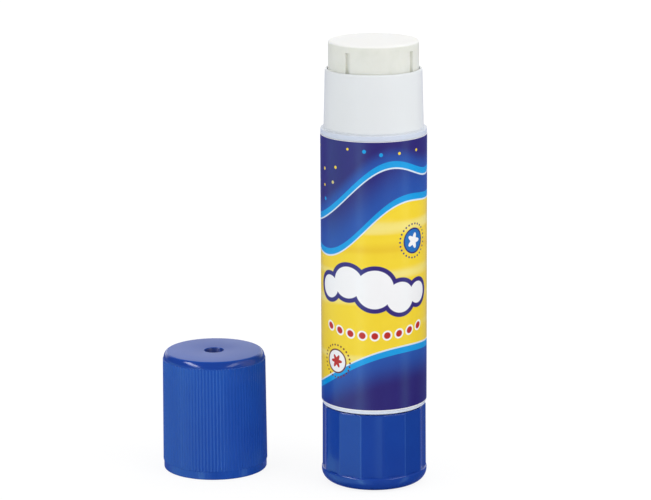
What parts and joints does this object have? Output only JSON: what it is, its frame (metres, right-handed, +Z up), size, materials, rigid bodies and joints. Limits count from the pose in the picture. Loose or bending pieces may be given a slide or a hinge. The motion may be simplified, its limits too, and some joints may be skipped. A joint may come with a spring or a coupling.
{
  "type": "glue stick",
  "caption": "Twist-up glue stick, cap off and standing beside it: turning the fluted base knob drives a screw that raises the glue out of the barrel.",
  "frame": {"origin": "centre of the knob's flat base, on the stick's axis, on the surface the stick stands on", "axes": "+Z up along the stick towards the glue; the cap stands towards -X; the picture looks along +Y, so -Y faces the viewer"},
  "size_m": [0.0538, 0.0304, 0.0899],
  "materials": {
    "white_plastic": "satin moulded white polypropylene",
    "printed_film": "glossy printed film label, yellow with blue",
    "blue_plastic": "smooth semi-gloss moulded blue plastic",
    "natural_plastic": "undyed moulded plastic",
    "glue_mass": "waxy off-white glue, slightly translucent"
  },
  "bodies": {
    "barrel": {"barrel": "white_plastic", "label": "printed_film"},
    "knob": {"knob": "blue_plastic", "spindle": "natural_plastic"},
    "glue": {"carrier": "natural_plastic", "glue": "glue_mass"},
    "cap": {"cap": "blue_plastic"}
  },
  "joints": [
    {"name": "knob_turn", "type": "hinge", "parent": "barrel", "child": "knob", "pos_m": [0, 0, 0], "axis": [0, 0, 1], "range_deg": [-432, 3601]},
    {"name": "glue_slide", "type": "slide", "parent": "barrel", "child": "glue", "axis": [0, 0, 1], "range_m": [-0.006, 0.05]},
    {"name": "cap_lift", "type": "slide", "parent": "barrel", "child": "cap", "axis": [0, 0, 1], "range_m": [0, 0.1]}
  ],
  "couplings": [
    {"joint": "knob_turn", "follows": "glue_slide", "rad_per_m": 1256.6}
  ]
}
